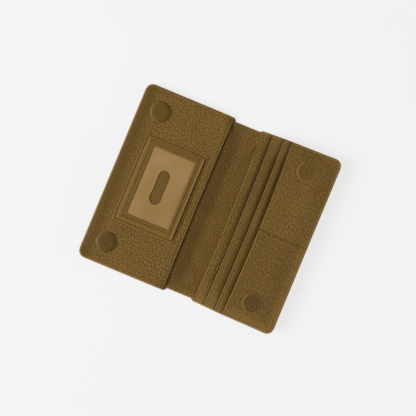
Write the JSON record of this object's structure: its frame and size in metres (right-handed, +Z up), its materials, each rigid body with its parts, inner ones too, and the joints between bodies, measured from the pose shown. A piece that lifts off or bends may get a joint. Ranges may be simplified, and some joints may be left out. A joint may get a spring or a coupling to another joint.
{
  "type": "long bifold wallet",
  "caption": "Long bifold wallet of pebbled leather, lying open: a bill pocket with an ID window on one half, a phone pocket with stepped card slots on the other, joined by a folding spine.",
  "frame": {"origin": "centre of the open wallet's underside, on the surface it lies on", "axes": "+X from the ID window half to the card slot half, +Y along the length of the wallet, +Z up out of its open inside"},
  "size_m": [0.211, 0.188, 0.0181],
  "materials": {
    "cover_leather": "pebbled grain, soft satin",
    "lining_leather": "pebbled grain, soft satin",
    "panel_leather": "pebbled grain, soft satin",
    "strip_leather": "pebbled grain, skived thin, soft satin",
    "lining_fabric": "plain woven twill",
    "interlining_board": "pressed non-woven board",
    "window_film": "frosted flexible film, semi-clear",
    "plated_steel": "nickel plated"
  },
  "bodies": {
    "left_half": {"left_cover": "cover_leather", "left_interlining": "interlining_board", "left_lining": "lining_leather", "bill_pocket_panel": "panel_leather", "bill_pocket_panel_lining": "lining_fabric", "id_pocket_back": "panel_leather", "id_pocket_frame": "strip_leather", "id_window_film": "window_film", "upper_magnet": "plated_steel", "lower_magnet": "plated_steel"},
    "spine": {"spine_cover": "cover_leather", "spine_interlining": "interlining_board", "spine_lining": "lining_leather"},
    "right_half": {"right_cover": "cover_leather", "right_interlining": "interlining_board", "right_lining": "lining_leather", "phone_pocket_panel": "panel_leather", "phone_pocket_panel_lining": "lining_fabric", "card_slot_1_pocket": "lining_fabric", "card_slot_1_strip": "strip_leather", "card_slot_2_pocket": "lining_fabric", "card_slot_2_strip": "strip_leather", "front_pocket_panel": "panel_leather", "front_pocket_lining": "lining_fabric", "upper_steel_disc": "plated_steel", "lower_steel_disc": "plated_steel"}
  },
  "joints": [
    {"name": "left_fold", "type": "hinge", "parent": "left_half", "child": "spine", "pos_m": [-0.012, 0, 0.0022], "axis": [0, -1, 0], "range_deg": [0, 90]},
    {"name": "right_fold", "type": "hinge", "parent": "spine", "child": "right_half", "pos_m": [0.012, 0, 0.0022], "axis": [0, -1, 0], "range_deg": [0, 90]}
  ]
}
